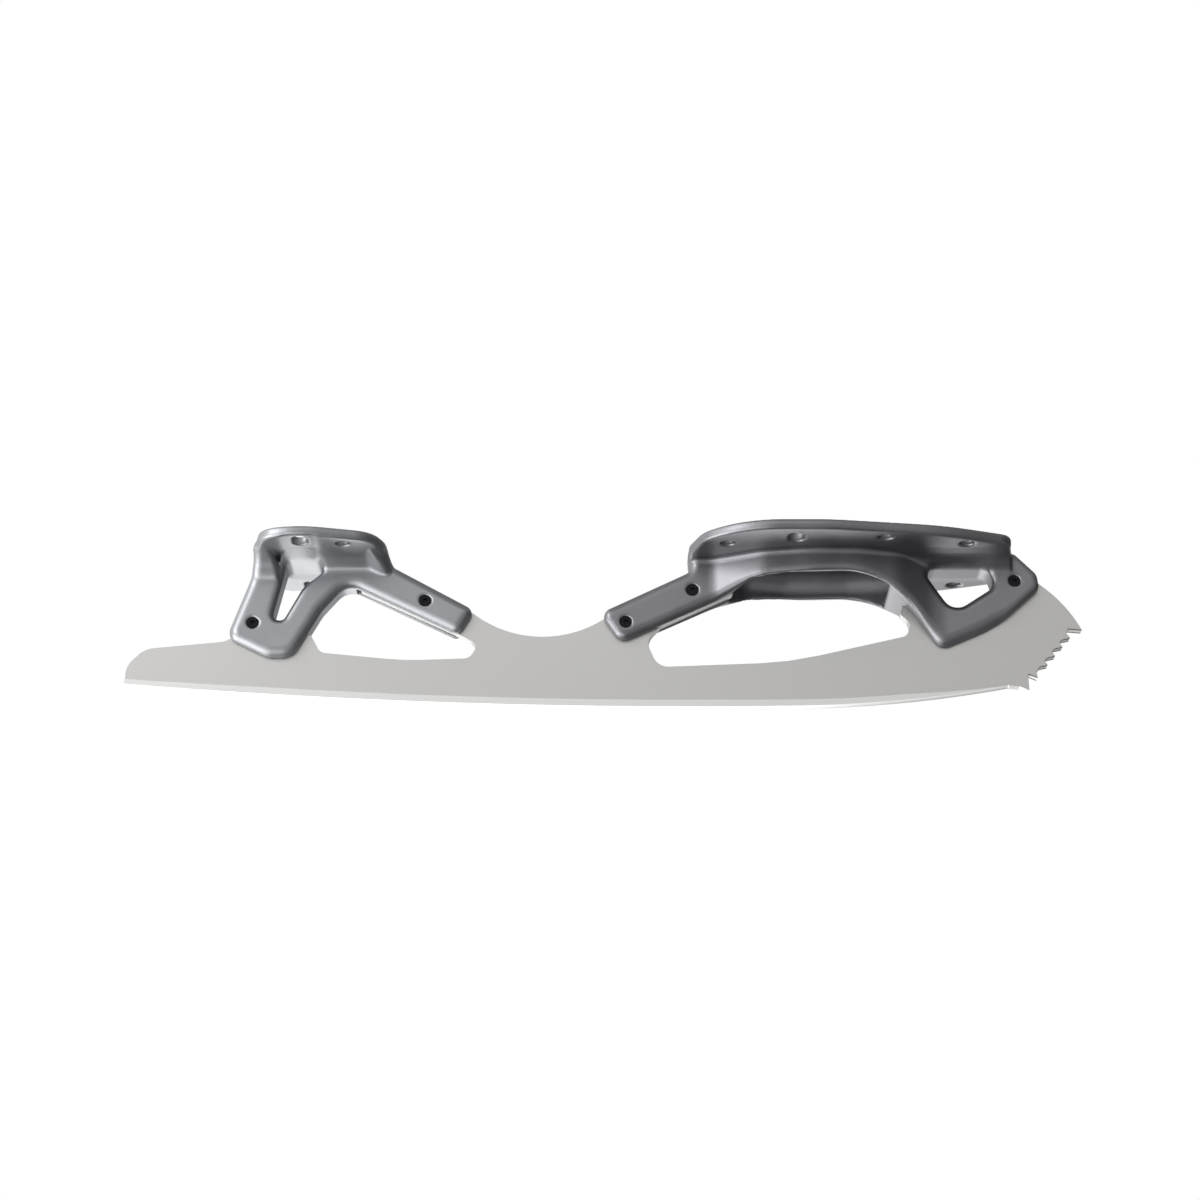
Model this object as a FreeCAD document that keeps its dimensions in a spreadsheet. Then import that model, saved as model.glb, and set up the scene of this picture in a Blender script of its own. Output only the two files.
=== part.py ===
import FreeCAD, Part
import math
import os
import re
import Sketcher

# Figure skate blade. A stainless runner plate stands in the slots of two cast aluminium
# chassis, one under the boot's heel and one under its sole. Recessed screws and sleeve
# nuts clamp it at five stations. Millimetres, +X towards the toe, +Z up. The origin is
# the middle of the sole plate's four corner holes, on the plates' seat face.

doc = FreeCAD.newDocument("FigureSkateBlade")
sheet = doc.addObject("Spreadsheet::Sheet", "Sizes")

SIZES = [
    # Runner
    ("runner_thickness", 4.0),
    ("runner_height", 51.2),
    ("rocker_radius", 2134.0),
    ("rocker_low_x", -50.0),
    ("spin_radius", 395.0),
    ("spin_start_x", -15.0),
    ("pick_root_x", 51.0),
    ("tail_overhang", 62.8),
    ("dip_depth", 28.1),
    ("tail_height", 5.75),
    ("tooth_pitch_x", 2.5),
    ("tooth_pitch_z", 3.0),
    # Both chassis
    ("heel_setback", 165.6),
    ("leg_thickness", 11.0),
    ("edge_round", 2.2),
    ("slot_clearance", 0.05),
    ("plate_thickness", 3.2),
    ("rim_round", 1.1),
    ("screw_hole", 4.6),
    ("slot_width", 4.8),
    # Sole chassis
    ("arch_width", 31.0),
    ("arch_wall", 2.2),
    ("arch_end_x", 14.0),
    ("sole_plate_width", 68.6),
    ("sole_corner_span", 75.3),
    ("sole_corner_inset", 14.3),
    ("sole_side_inset", 8.8),
    ("sole_side_x", 11.65),
    ("sole_slot_x", -16.25),
    ("sole_slot_length", 7.8),
    # Heel chassis
    ("web_width", 18.0),
    ("gusset_width", 33.0),
    ("heel_plate_width", 57.0),
    ("heel_hole_pitch", 13.3),
    ("heel_hole_gauge", 39.2),
    ("heel_slot_gauge", 43.2),
    ("heel_slot_length", 8.0),
    # Fastenings
    ("recess_width", 3.7),
    ("recess_depth", 1.6),
    ("head_gap", 0.05),
    ("head_height", 1.1),
    ("sleeve_width", 2.8),
    ("sleeve_gap", 0.03),
    ("sleeve_end_gap", 0.3),
    ("screw_width", 1.7),
    ("screw_end_gap", 0.9),
    ("socket_width", 1.5),
    ("socket_depth", 0.7),
]


def fill_sheet():
    """Writes every driving size into the sheet under its own name."""
    for row, (alias, value) in enumerate(SIZES, start=1):
        sheet.set(f"A{row}", alias)
        sheet.set(f"B{row}", str(value))
        sheet.setAlias(f"B{row}", alias)
    doc.recompute()


fill_sheet()
NAMES = re.compile(r"\b(" + "|".join(alias for alias, _ in SIZES) + r")\b")


def size(text):
    """The number that a name, or a formula of names, stands for."""
    if isinstance(text, str):
        return float(sheet.evalExpression(text))
    return float(text)


def bind(item, prop, text):
    """Ties a property to the sheet by a formula of names."""
    item.setExpression(prop, NAMES.sub(r"Sizes.\1", text))


def new_body(name):
    body = doc.addObject("PartDesign::Body", name)
    body.Label = name
    return body


def new_sketch(body, name, role, height=None):
    """A sketch on one of the body's own origin planes, or parallel to it at a height."""
    sketch = body.newObject("Sketcher::SketchObject", name)
    plane = [item for item in body.Origin.OriginFeatures if item.Role == role][0]
    sketch.AttachmentSupport = [(plane, "")]
    sketch.MapMode = "FlatFace"
    if height is not None:
        bind(sketch, "AttachmentOffset.Base.z", height)
    return sketch


def point_at(corner):
    return FreeCAD.Vector(size(corner[0]), size(corner[1]), 0)


def turn(before, corner, after):
    """Positive where an outline turns left at a corner."""
    return (corner - before).cross(after - corner).z


def arc_between(centre, radius, start, end, leftwards):
    """An arc, and which of its two ends lies at start and at end."""
    first, last = (start, end) if leftwards else (end, start)
    begin_angle = math.atan2(first.y - centre.y, first.x - centre.x)
    end_angle = math.atan2(last.y - centre.y, last.x - centre.x)
    circle = Part.Circle(centre, FreeCAD.Vector(0, 0, 1), radius)
    ends = (1, 2) if leftwards else (2, 1)
    return Part.ArcOfCircle(circle, begin_angle, end_angle), ends


def draw_outline(sketch, corners):
    """Draws a closed outline of sides with rounded corners, held by constraints.

    A corner is (u, v, radius), each a number or a formula of named sizes. Where it has
    a fourth value, a point, the side that starts there is an arc through that point,
    and both corners of that side are sharp.
    """
    count = len(corners)
    points = [point_at(corner) for corner in corners]
    leaves = list(points)
    enters = list(points)
    centres = [None] * count
    for i, corner in enumerate(corners):
        if corner[2]:
            radius = size(corner[2])
            back = (points[i - 1] - points[i]).normalize()
            ahead = (points[(i + 1) % count] - points[i]).normalize()
            half = back.getAngle(ahead) / 2
            enters[i] = points[i] + back * (radius / math.tan(half))
            leaves[i] = points[i] + ahead * (radius / math.tan(half))
            centres[i] = points[i] + (back + ahead).normalize() * (radius / math.sin(half))
    rounded = [i for i in range(count) if corners[i][2]]
    base = sketch.GeometryCount
    lines = []
    side_ends = []
    holds = []
    formulas = []
    for i, corner in enumerate(corners):
        start = leaves[i]
        end = enters[(i + 1) % count]
        if len(corner) > 3:
            middle = point_at(corner[3])
            circle = Part.Arc(start, middle, end).toShape().Curve
            side, ends = arc_between(circle.Center, circle.Radius, start, end, turn(start, middle, end) > 0)
            holds.append(Sketcher.Constraint("Radius", base + i, circle.Radius))
        else:
            side, ends = Part.LineSegment(start, end), (1, 2)
        lines.append(side)
        side_ends.append(ends)
    for i, corner in enumerate(corners):
        before = (i - 1) % count
        arrives = (base + before, side_ends[before][1])
        departs = (base + i, side_ends[i][0])
        if i in rounded:
            leftwards = turn(points[i - 1], points[i], points[(i + 1) % count]) > 0
            rounding, ends = arc_between(centres[i], size(corner[2]), enters[i], leaves[i], leftwards)
            arc = base + len(lines)
            mark = base + count + len(rounded) + rounded.index(i)
            lines.append(rounding)
            holds.append(Sketcher.Constraint("Tangent", *arrives, arc, ends[0]))
            holds.append(Sketcher.Constraint("Tangent", arc, ends[1], *departs))
            holds.append(Sketcher.Constraint("PointOnObject", mark, 1, arrives[0]))
            holds.append(Sketcher.Constraint("PointOnObject", mark, 1, departs[0]))
            if isinstance(corner[2], str):
                formulas.append((len(holds), corner[2]))
            holds.append(Sketcher.Constraint("Radius", arc, size(corner[2])))
            anchor = (mark, 1)
        else:
            holds.append(Sketcher.Constraint("Coincident", *arrives, *departs))
            anchor = departs
        for kind, value in (("DistanceX", corner[0]), ("DistanceY", corner[1])):
            if isinstance(value, str):
                formulas.append((len(holds), value))
            holds.append(Sketcher.Constraint(kind, -1, 1, anchor[0], anchor[1], size(value)))
    sketch.addGeometry(lines, False)
    sketch.addGeometry([Part.Point(points[i]) for i in rounded], True)
    first = sketch.ConstraintCount
    sketch.addConstraint(holds)
    for index, text in formulas:
        bind(sketch, f"Constraints[{first + index}]", text)


def mirrored(half):
    """A closed outline from its corners on the +Y side, listed from rear to front."""
    lower = [(corner[0], opposite(corner[1]), corner[2]) for corner in half]
    return lower + half[::-1]


def opposite(value):
    return f"-({value})" if isinstance(value, str) else -value


def rectangle(left, right, half_width):
    return mirrored([(left, half_width, 0), (right, half_width, 0)])


def grown(corners, gap):
    """An outline listed leftwards round, moved outwards by a gap."""
    points = [point_at(corner) for corner in corners]
    count = len(points)
    result = []
    for i, point in enumerate(points):
        into = (point - points[i - 1]).normalize()
        out = (points[(i + 1) % count] - point).normalize()
        normal_in = FreeCAD.Vector(into.y, -into.x, 0)
        normal_out = FreeCAD.Vector(out.y, -out.x, 0)
        moved = point + (normal_in + normal_out) * (gap / (1 + normal_in.dot(normal_out)))
        radius = corners[i][2]
        if radius:
            radius += gap if into.cross(out).z > 0 else -gap
        result.append((moved.x, moved.y, radius))
    return result


def extrude(body, kind, name, sketch, length, symmetric=False, backwards=False):
    """A pad or pocket of a sketch, its length tied to the sheet."""
    feature = body.newObject("PartDesign::" + kind, name)
    feature.Profile = sketch
    bind(feature, "Length", length)
    if symmetric:
        feature.SideType = "Symmetric"
    feature.Reversed = backwards
    doc.recompute()
    return feature


def add_flare(body, name, sections):
    """A solid that widens upwards through rectangles, each (height, left, right, half width)."""
    sketches = []
    for step, (height, left, right, half_width) in enumerate(sections):
        sketch = new_sketch(body, f"{name}_section_{step}", "XY_Plane", height)
        draw_outline(sketch, rectangle(left, right, half_width))
        sketches.append(sketch)
    feature = body.newObject("PartDesign::AdditiveLoft", name)
    feature.Profile = sketches[0]
    feature.Sections = sketches[1:]
    doc.recompute()


def round_edges(body, name, test, radius):
    """Rounds the edges of the body so far that pass a test."""
    base = body.Tip
    names = [f"Edge{i}" for i, edge in enumerate(base.Shape.Edges, start=1) if test(edge)]
    feature = body.newObject("PartDesign::Fillet", name)
    feature.Base = (base, names)
    bind(feature, "Radius", radius)
    doc.recompute()
    return feature


def draw_circles(sketch, centres, width):
    """Equal circles at centres that may be formulas."""
    for i, centre in enumerate(centres):
        place = point_at(centre)
        circle = Part.Circle(place, FreeCAD.Vector(0, 0, 1), size(width) / 2)
        index = sketch.addGeometry(circle)
        first = sketch.ConstraintCount
        sketch.addConstraint([
            Sketcher.Constraint("Diameter", index, size(width)),
            Sketcher.Constraint("DistanceX", -1, 1, index, 3, place.x),
            Sketcher.Constraint("DistanceY", -1, 1, index, 3, place.y),
        ])
        for step, value in enumerate((width, centre[0], centre[1])):
            if isinstance(value, str):
                bind(sketch, f"Constraints[{first + step}]", value)


def round_ended(x, y, width, length):
    """Corners of a slot with round ends, long along Y, about a centre."""
    radius = f"{width} / 2.05"
    left = f"{x} - {width} / 2"
    right = f"{x} + {width} / 2"
    low = f"{y} - {length} / 2"
    high = f"{y} + {length} / 2"
    return [(right, low, radius), (right, high, radius), (left, high, radius), (left, low, radius)]


# Fastening stations, in each chassis's own frame.
HEEL_STATIONS = {"rear": (-22.5, -24.4), "front": (32.1, -17.0)}
SOLE_STATIONS = {"rear": (-69.7, -24.1), "middle": (-48.4, -13.4), "front": (54.1, -10.4)}

# The runner's lugs where they stand in the chassis slots, each listed from toe to heel.
HEEL_FRONT_ARM = [(47.4, -20.4, 0), (22.6, -7.6, 3), (15.6, -7.6, 2), (10.1, -11.8, 1), (41.4, -26.6, 1)]
HEEL_REAR_LUG = [(-4.2, -27.6, 0.8), (-8.4, -26.2, 2), (-19.0, -26.2, 1.5), (-19.0, -18.6, 1.5),
                 (-24.8, -18.6, 1.5), (-27.0, -27.4, 0.8)]
SOLE_FRONT_LUG = [(60.6, -9.2, 0), (57.6, -6.4, 2), (50.2, -6.4, 1.5), (50.2, -14.6, 2), (38.0, -22.6, 3),
                  (29.8, -22.4, 2), (24.6, -15.0, 1), (20.4, -15.0, 1.5), (17.4, -20.4, 0.8)]
SOLE_REAR_ARM = [(-58.4, -24.3, 1), (-34.6, -13.2, 1.5), (-39.0, -7.2, 2), (-48.0, -7.2, 3), (-75.7, -21.5, 0)]


def at_heel(corners):
    """Corners of the heel chassis's frame, in the blade's frame."""
    return [(f"{corner[0]} - heel_setback", *corner[1:]) for corner in corners]


def bottom_height(x):
    """Height of the runner's bottom edge: the rocker, then the tighter spin rocker."""
    low = size("rocker_low_x")
    long_radius = size("rocker_radius")
    spin = size("spin_radius")
    start = size("spin_start_x")
    centre_z = long_radius - size("runner_height")
    start_z = centre_z - math.sqrt(long_radius**2 - (start - low) ** 2)
    if x <= start:
        return centre_z - math.sqrt(long_radius**2 - (x - low) ** 2)
    spin_x = start + (low - start) * spin / long_radius
    spin_z = start_z + (centre_z - start_z) * spin / long_radius
    return spin_z - math.sqrt(spin**2 - (x - spin_x) ** 2)


def toe_picks():
    """The drag pick, the saw teeth and the crown over them, each point at its height over the lowest edge."""
    points = [(54.8, 6.6), (57.8, 5.2), (57.6, 10.8), (60.6, 9.6), (60.3, 11.6)]
    first_x, first_height = 64.0, 13.7
    for step in range(4):
        x = first_x + step * size("tooth_pitch_x")
        height = first_height + step * size("tooth_pitch_z")
        points += [(x - 2.6, height - 0.6), (x, height), (x - 1.1, height + 1.4)]
    points.append((70.9, 25.8))
    crown = "25.4 - runner_height"
    middle = (69.9, f"({crown} + {SOLE_FRONT_LUG[0][1]}) / 2")
    return [(x, f"{height:.4g} - runner_height", 0) for x, height in points] + [(75.3, crown, 0, middle)]


def runner_outline():
    tail_x = -size("heel_setback") - size("tail_overhang")
    tail_z = bottom_height(tail_x) + size("tail_height")
    start = size("spin_start_x")
    root = size("pick_root_x")
    dip_from = (SOLE_REAR_ARM[-1][0] + HEEL_FRONT_ARM[0][0] - size("heel_setback")) / 2
    bottom = [
        (tail_x, bottom_height(tail_x), 0, ((tail_x + start) / 2, bottom_height((tail_x + start) / 2))),
        (start, bottom_height(start), 0, ((root + start) / 2, bottom_height((root + start) / 2))),
        (root, bottom_height(root), 0),
    ]
    front_window = [(20.8, -23.6, 3), (19.9, -27.8, 2.8), (-18.0, -36.6, 100), (-59.5, -38.2, 5), (-63.4, -29.5, 5)]
    dip = [(*SOLE_REAR_ARM[-1], (dip_from, -size("dip_depth")))]
    rear_window = [(49.0, -30.8, 2.5), (46.1, -35.3, 3), (25.6, -36.0, 80), (-1.2, -33.4, 3.2)]
    tail = [(-31.9, -29.8, 4), (-56.9, -32.2, 5), (-62.7, tail_z, 4)]
    return (bottom + toe_picks() + SOLE_FRONT_LUG + front_window + SOLE_REAR_ARM[:-1] + dip
            + at_heel(HEEL_FRONT_ARM + rear_window + HEEL_REAR_LUG + tail))


def build_runner():
    body = new_body("runner")
    outline = new_sketch(body, "runner_outline", "XZ_Plane")
    draw_outline(outline, runner_outline())
    extrude(body, "Pad", "runner_plate", outline, "runner_thickness", symmetric=True)
    holes = new_sketch(body, "runner_holes", "XZ_Plane")
    centres = at_heel(HEEL_STATIONS.values()) + list(SOLE_STATIONS.values())
    draw_circles(holes, centres, "sleeve_width")
    extrude(body, "Pocket", "runner_bores", holes, "2 * runner_thickness", symmetric=True)
    return body


def drill_stations(body, stations):
    """Through bores for the sleeves, and a recess for a head on each face."""
    bores = new_sketch(body, body.Name + "_bore_circles", "XZ_Plane")
    draw_circles(bores, stations.values(), "sleeve_width")
    extrude(body, "Pocket", body.Name + "_bores", bores, "2 * leg_thickness", symmetric=True)
    for side, sign in (("near", -1), ("far", 1)):
        floor = f"{-sign} * (leg_thickness / 2 - recess_depth)"
        recess = new_sketch(body, f"{body.Name}_{side}_circles", "XZ_Plane", floor)
        draw_circles(recess, stations.values(), "recess_width")
        extrude(body, "Pocket", f"{body.Name}_{side}_recesses", recess, "leg_thickness", backwards=sign < 0)


def cut_slot(body, name, lug, closing):
    """A slot that takes a lug of the runner with clearance all round, open along the closing corners."""
    sketch = new_sketch(body, name + "_outline", "XZ_Plane")
    draw_outline(sketch, grown(lug + closing, size("slot_clearance")))
    extrude(body, "Pocket", name, sketch, "runner_thickness + 2 * slot_clearance", symmetric=True)


def shape_by_plan(body, name, half_plan, box, depth):
    """Cuts away what stands outside a plan outline, within a larger box."""
    sketch = new_sketch(body, name + "_outline", "XY_Plane")
    draw_outline(sketch, mirrored(half_plan))
    draw_outline(sketch, rectangle(*box))
    extrude(body, "Pocket", name, sketch, depth)


def on_leg_faces(edge):
    """True for the edges that lie flat on a leg's two side faces, below its flat top."""
    box = edge.BoundBox
    half = size("leg_thickness / 2")
    return box.YLength < 0.001 and abs(abs(box.YMin) - half) < 0.001 and box.ZMin < LEG_TOP - 0.01


def add_legs(body, name, side, window):
    """The slab of both legs with a window through it, the edges of both rounded."""
    profile = new_sketch(body, name + "_profile", "XZ_Plane")
    draw_outline(profile, side)
    draw_outline(profile, window)
    extrude(body, "Pad", name + "_legs", profile, "leg_thickness", symmetric=True)
    round_edges(body, name + "_leg_edges", on_leg_faces, "edge_round")


def build_plate(name, half_plan):
    """The flat mounting plate, down from the seat face, with a rounded rim."""
    plate = new_body(name)
    outline = new_sketch(plate, name + "_outline", "XY_Plane")
    draw_outline(outline, mirrored(half_plan))
    extrude(plate, "Pad", name + "_slab", outline, "plate_thickness", backwards=True)
    round_edges(plate, name + "_lower_rim", lambda edge: edge.BoundBox.ZMax < -0.01, "rim_round")
    round_edges(plate, name + "_upper_rim", lambda edge: edge.BoundBox.ZMin > -0.01, "rim_round / 2")
    return plate


def fuse_into(body, name, other):
    joint = body.newObject("PartDesign::Boolean", name)
    joint.Type = "Fuse"
    joint.Group = [other]
    doc.recompute()


def cut_window(body, name, corners):
    window = new_sketch(body, name + "_outline", "XZ_Plane")
    draw_outline(window, corners)
    extrude(body, "Pocket", name, window, "2 * arch_width", symmetric=True)


def drill_plate(body, name, centres, width):
    holes = new_sketch(body, name + "_circles", "XY_Plane")
    draw_circles(holes, centres, width)
    extrude(body, "Pocket", name, holes, "2 * plate_thickness")


def cut_plate_slots(body, name, x, y, length):
    sketch = new_sketch(body, name + "_outlines", "XY_Plane")
    for side in ("", "-"):
        draw_outline(sketch, round_ended(x, side + y, "slot_width", length))
    extrude(body, "Pocket", name, sketch, "2 * plate_thickness")


# Flat top of the legs' slab, inside the thickness of the plate above it.
LEG_TOP = -1.0

SOLE_WINDOW = [(24.3, -6.2, 2.2), (34.6, -20.9, 4.5), (47.9, -12.2, 3.2), (46.9, -6.2, 3.5)]


def build_sole():
    body = new_body("sole_chassis")
    half_leg = "leg_thickness / 2"
    half_arch = "arch_width / 2"
    half_plate = "sole_plate_width / 2"
    side = [(-78.1, -20.8, 3), (-71.4, -30.6, 4), (-28.0, -10.8, 30), (13.8, -9.6, 15), (30.3, -33.0, 4),
            (48.2, -25.3, 40), (62.2, -12.6, 3), (61.4, -7.8, 3), (54.6, LEG_TOP, 0),
            (-48.8, LEG_TOP, 0), (-49.2, -6.9, 3)]
    add_legs(body, "sole", side, SOLE_WINDOW)
    arch = new_sketch(body, "sole_arch_outline", "XZ_Plane")
    draw_outline(arch, [(-42.0, LEG_TOP, 0), (-42.0, -17.2, 0), (-28.0, -10.8, 30), (13.8, -9.6, 15),
                        (23.6, -23.6, 0), (23.6, LEG_TOP, 0)])
    extrude(body, "Pad", "sole_arch", arch, "arch_width", symmetric=True)
    plan = [(-80.0, half_leg, 0), (-42.0, half_leg, 10), (-29.5, f"{half_arch} - 2", 8), (-18.0, half_arch, 20),
            (2.0, half_arch, 20), (15.0, f"{half_arch} - 3", 15), (24.0, half_leg, 6), (66.0, half_leg, 0)]
    shape_by_plan(body, "sole_sides", plan, (-90, 90, "arch_width"), "runner_height")
    plate = build_plate("sole_plate", [
        (-49.6, 9.5, 6), (-45.5, f"{half_plate} - 11.8", 11), (-32.0, half_plate, 16), (-6.0, half_plate, 60),
        (30.0, f"{half_plate} - 5.9", 80), (51.8, f"{half_plate} - 15", 6), (52.8, 8.0, 6)])
    fuse_into(body, "sole_plate_joint", plate)
    channel = new_sketch(body, "sole_channel_outline", "XY_Plane", "-plate_thickness")
    inner = f"{half_arch} - arch_wall"
    draw_outline(channel, mirrored([
        (-36.5, f"{inner} - 9.3", 0), (-30.5, f"{inner} - 2.9", 6), (-18.0, inner, 15), (2.0, inner, 15),
        ("arch_end_x", f"{inner} - 2.5", 0)]))
    extrude(body, "Pocket", "sole_channel", channel, "runner_height")
    cut_window(body, "sole_window", SOLE_WINDOW)
    cut_slot(body, "sole_front_slot", SOLE_FRONT_LUG, [(17.4, -45.0, 0), (70.0, -45.0, 0), (70.0, -9.2, 0)])
    cut_slot(body, "sole_rear_slot", SOLE_REAR_ARM[1:], [(-95.0, -21.5, 0), (-95.0, -45.0, 0), (-34.6, -45.0, 0)])
    drill_stations(body, SOLE_STATIONS)
    half_span = "sole_corner_span / 2"
    corner_y = "(sole_plate_width / 2 - sole_corner_inset)"
    side_y = "(sole_plate_width / 2 - sole_side_inset)"
    corners = [(f"{a}{half_span}", f"{b}{corner_y}") for a in ("", "-") for b in ("", "-")]
    sides = [("sole_side_x", f"{b}{side_y}") for b in ("", "-")]
    drill_plate(body, "sole_holes", corners + sides, "screw_hole")
    cut_plate_slots(body, "sole_slots", "sole_slot_x", side_y, "sole_slot_length")
    return body


HEEL_WINDOW = [(-12.0, -3.9, 2.5), (-16.6, -23.2, 1.8), (-12.9, -23.2, 1.8), (-6.9, -12.0, 10),
               (-0.9, -7.2, 1.5), (-2.0, -3.9, 1.5)]


def build_heel():
    body = new_body("heel_chassis")
    half_web = "web_width / 2"
    half_gusset = "gusset_width / 2"
    half_plate = "heel_plate_width / 2"
    side = [(-21.9, LEG_TOP, 0), (-23.4, -8.0, 20), (-31.0, -28.9, 4), (-17.6, -35.5, 6), (-9.6, -35.4, 6),
            (-0.9, -20.0, 12), (7.0, -10.8, 6), (43.0, -28.2, 3), (48.1, -19.8, 3), (21.7, -5.2, 6),
            (19.7, LEG_TOP, 0)]
    add_legs(body, "heel", side, HEEL_WINDOW)
    inside = "leg_thickness / 2 - 0.4"
    add_flare(body, "heel_web", [
        ("-16", -18.5, 0.5, inside), ("-9.5", -16.0, 4.5, f"({inside} + {half_web}) / 2"),
        (f"{LEG_TOP}", -15.0, 12.0, half_web)])
    add_flare(body, "heel_rear_gusset", [
        ("-15", -25.0, -18.0, inside), ("-8", -23.2, -16.0, f"{inside} + 1.4"),
        ("-4.6", -22.4, -14.8, f"{half_gusset} - 6"), (f"{LEG_TOP}", -20.4, -14.0, half_gusset)])
    add_flare(body, "heel_front_gusset", [
        ("-12.5", 8.0, 22.0, inside), ("-8", 10.0, 20.0, f"{inside} + 1.4"),
        ("-4.6", 12.0, 18.4, f"{half_gusset} - 6"), (f"{LEG_TOP}", 13.4, 17.2, half_gusset)])
    plate = build_plate("heel_plate", [
        (-22.2, 10.0, 8), (-19.0, f"{half_plate} - 3.5", 9), (-7.0, f"{half_plate} + 0.6", 24),
        (16.0, f"{half_plate} - 5.8", 5), (19.8, 12.0, 5)])
    fuse_into(body, "heel_plate_joint", plate)
    cut_window(body, "heel_window", HEEL_WINDOW)
    cut_slot(body, "heel_rear_slot", HEEL_REAR_LUG, [(-27.0, -50.0, 0), (-4.2, -50.0, 0)])
    cut_slot(body, "heel_front_slot", HEEL_FRONT_ARM[:-1], [(10.1, -50.0, 0), (60.0, -50.0, 0), (60.0, -20.4, 0)])
    drill_stations(body, HEEL_STATIONS)
    half_pitch = "heel_hole_pitch / 2"
    holes = [(half_pitch, f"{b}heel_hole_gauge / 2") for b in ("", "-")]
    drill_plate(body, "heel_holes", holes, "screw_hole")
    cut_plate_slots(body, "heel_slots", f"-{half_pitch}", "heel_slot_gauge / 2", "heel_slot_length")
    bind(body, "Placement.Base.x", "-heel_setback")
    return body


def turned(body, name, corners):
    """A solid turned about the Y axis from an outline of (radius, y) corners."""
    outline = new_sketch(body, name + "_outline", "XY_Plane")
    draw_outline(outline, corners)
    feature = body.newObject("PartDesign::Revolution", name)
    feature.Profile = outline
    feature.ReferenceAxis = (outline, ["V_Axis"])
    feature.Angle = 360
    doc.recompute()


def cut_socket(body, face_y, backwards):
    """The hexagon socket in a head's outer face."""
    sketch = new_sketch(body, body.Name + "_hexagon", "XZ_Plane", face_y)
    reach = size("socket_width") / math.sqrt(3)
    corners = []
    for step in range(6):
        angle = math.radians(60 * step + 30)
        corners.append((reach * math.cos(angle), reach * math.sin(angle), 0))
    draw_outline(sketch, corners)
    extrude(body, "Pocket", body.Name + "_socket", sketch, "socket_depth", backwards=backwards)


SEAT = "(leg_thickness / 2 - recess_depth)"
HEAD_RADIUS = "recess_width / 2 - head_gap"


def build_screw(name):
    """A socket head screw, its head seated on the floor of the near recess."""
    body = new_body(name)
    shank = "screw_width / 2"
    tip = f"{SEAT} - screw_end_gap"
    turned(body, name + "_turning", [
        (0, f"-{SEAT} - head_height", 0), (HEAD_RADIUS, f"-{SEAT} - head_height", 0.2), (HEAD_RADIUS, f"-{SEAT}", 0),
        (shank, f"-{SEAT}", 0), (shank, tip, 0.2), (0, tip, 0)])
    cut_socket(body, f"{SEAT} + head_height", False)
    return body


def build_sleeve_nut(name):
    """A sleeve nut, its head seated in the far recess and its sleeve through the runner."""
    body = new_body(name)
    sleeve = "sleeve_width / 2 - sleeve_gap"
    bore = "screw_width / 2 + sleeve_gap"
    mouth = f"-{SEAT} + sleeve_end_gap"
    bore_end = f"{SEAT} - screw_end_gap / 2"
    turned(body, name + "_turning", [
        (bore, mouth, 0), (sleeve, mouth, 0), (sleeve, SEAT, 0), (HEAD_RADIUS, SEAT, 0),
        (HEAD_RADIUS, f"{SEAT} + head_height", 0.2), (0, f"{SEAT} + head_height", 0), (0, bore_end, 0),
        (bore, bore_end, 0)])
    cut_socket(body, f"-{SEAT} - head_height", True)
    return body


def build_fastenings(chassis, stations, shift):
    """A screw and a sleeve nut at each station of one chassis."""
    made = []
    for station, (x, z) in stations.items():
        for build, kind in ((build_screw, "screw"), (build_sleeve_nut, "nut")):
            body = build(f"{chassis}_{station}_{kind}")
            bind(body, "Placement.Base.x", f"{x}{shift}")
            body.Placement.Base.z = z
            made.append(body)
    return made


def check(parts):
    """Stops if anything in the document failed, or a piece isn't one sound solid."""
    doc.recompute()
    for item in doc.Objects:
        if "Invalid" in item.State or "Error" in item.State:
            raise RuntimeError(f"{item.Name} failed: {item.State}")
    for body in parts:
        shape = body.Shape
        if shape.isNull() or not shape.isValid() or len(shape.Solids) != 1:
            raise RuntimeError(f"{body.Label} isn't one sound solid")


parts = [build_runner(), build_sole(), build_heel()]
parts += build_fastenings("heel", HEEL_STATIONS, " - heel_setback")
parts += build_fastenings("sole", SOLE_STATIONS, "")
check(parts)
os.makedirs("parts", exist_ok=True)
for body in parts:
    body.Shape.exportStep(f"parts/{body.Label}.step")
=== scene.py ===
import bmesh
import bpy
import math
import numpy as np
from mathutils import Matrix, Vector


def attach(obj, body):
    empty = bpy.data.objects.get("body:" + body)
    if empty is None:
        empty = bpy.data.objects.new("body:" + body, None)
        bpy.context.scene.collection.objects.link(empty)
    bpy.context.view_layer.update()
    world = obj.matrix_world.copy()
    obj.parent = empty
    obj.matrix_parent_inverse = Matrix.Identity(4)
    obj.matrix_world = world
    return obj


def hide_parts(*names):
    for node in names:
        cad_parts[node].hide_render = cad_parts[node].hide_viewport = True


# A figure skate blade. A stainless runner stands in the slots of two cast aluminium chassis, and
# blackened socket screws clamp it at five places. Sizes of the pieces are in millimetres.

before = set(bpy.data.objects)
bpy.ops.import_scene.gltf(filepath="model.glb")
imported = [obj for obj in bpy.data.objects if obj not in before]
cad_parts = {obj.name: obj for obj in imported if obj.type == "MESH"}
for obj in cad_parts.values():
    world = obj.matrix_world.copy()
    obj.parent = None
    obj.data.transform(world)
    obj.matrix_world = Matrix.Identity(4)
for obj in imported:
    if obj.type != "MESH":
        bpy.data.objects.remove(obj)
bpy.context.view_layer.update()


# Sole chassis: the stand under the ball of the foot, one aluminium casting with a plate on top, a
# hollow arch under it, an arm behind and a leg in front. It is bead blasted all over, then slotted
# for the runner, bored for the clamping screws and drilled for the boot's screws.

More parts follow.
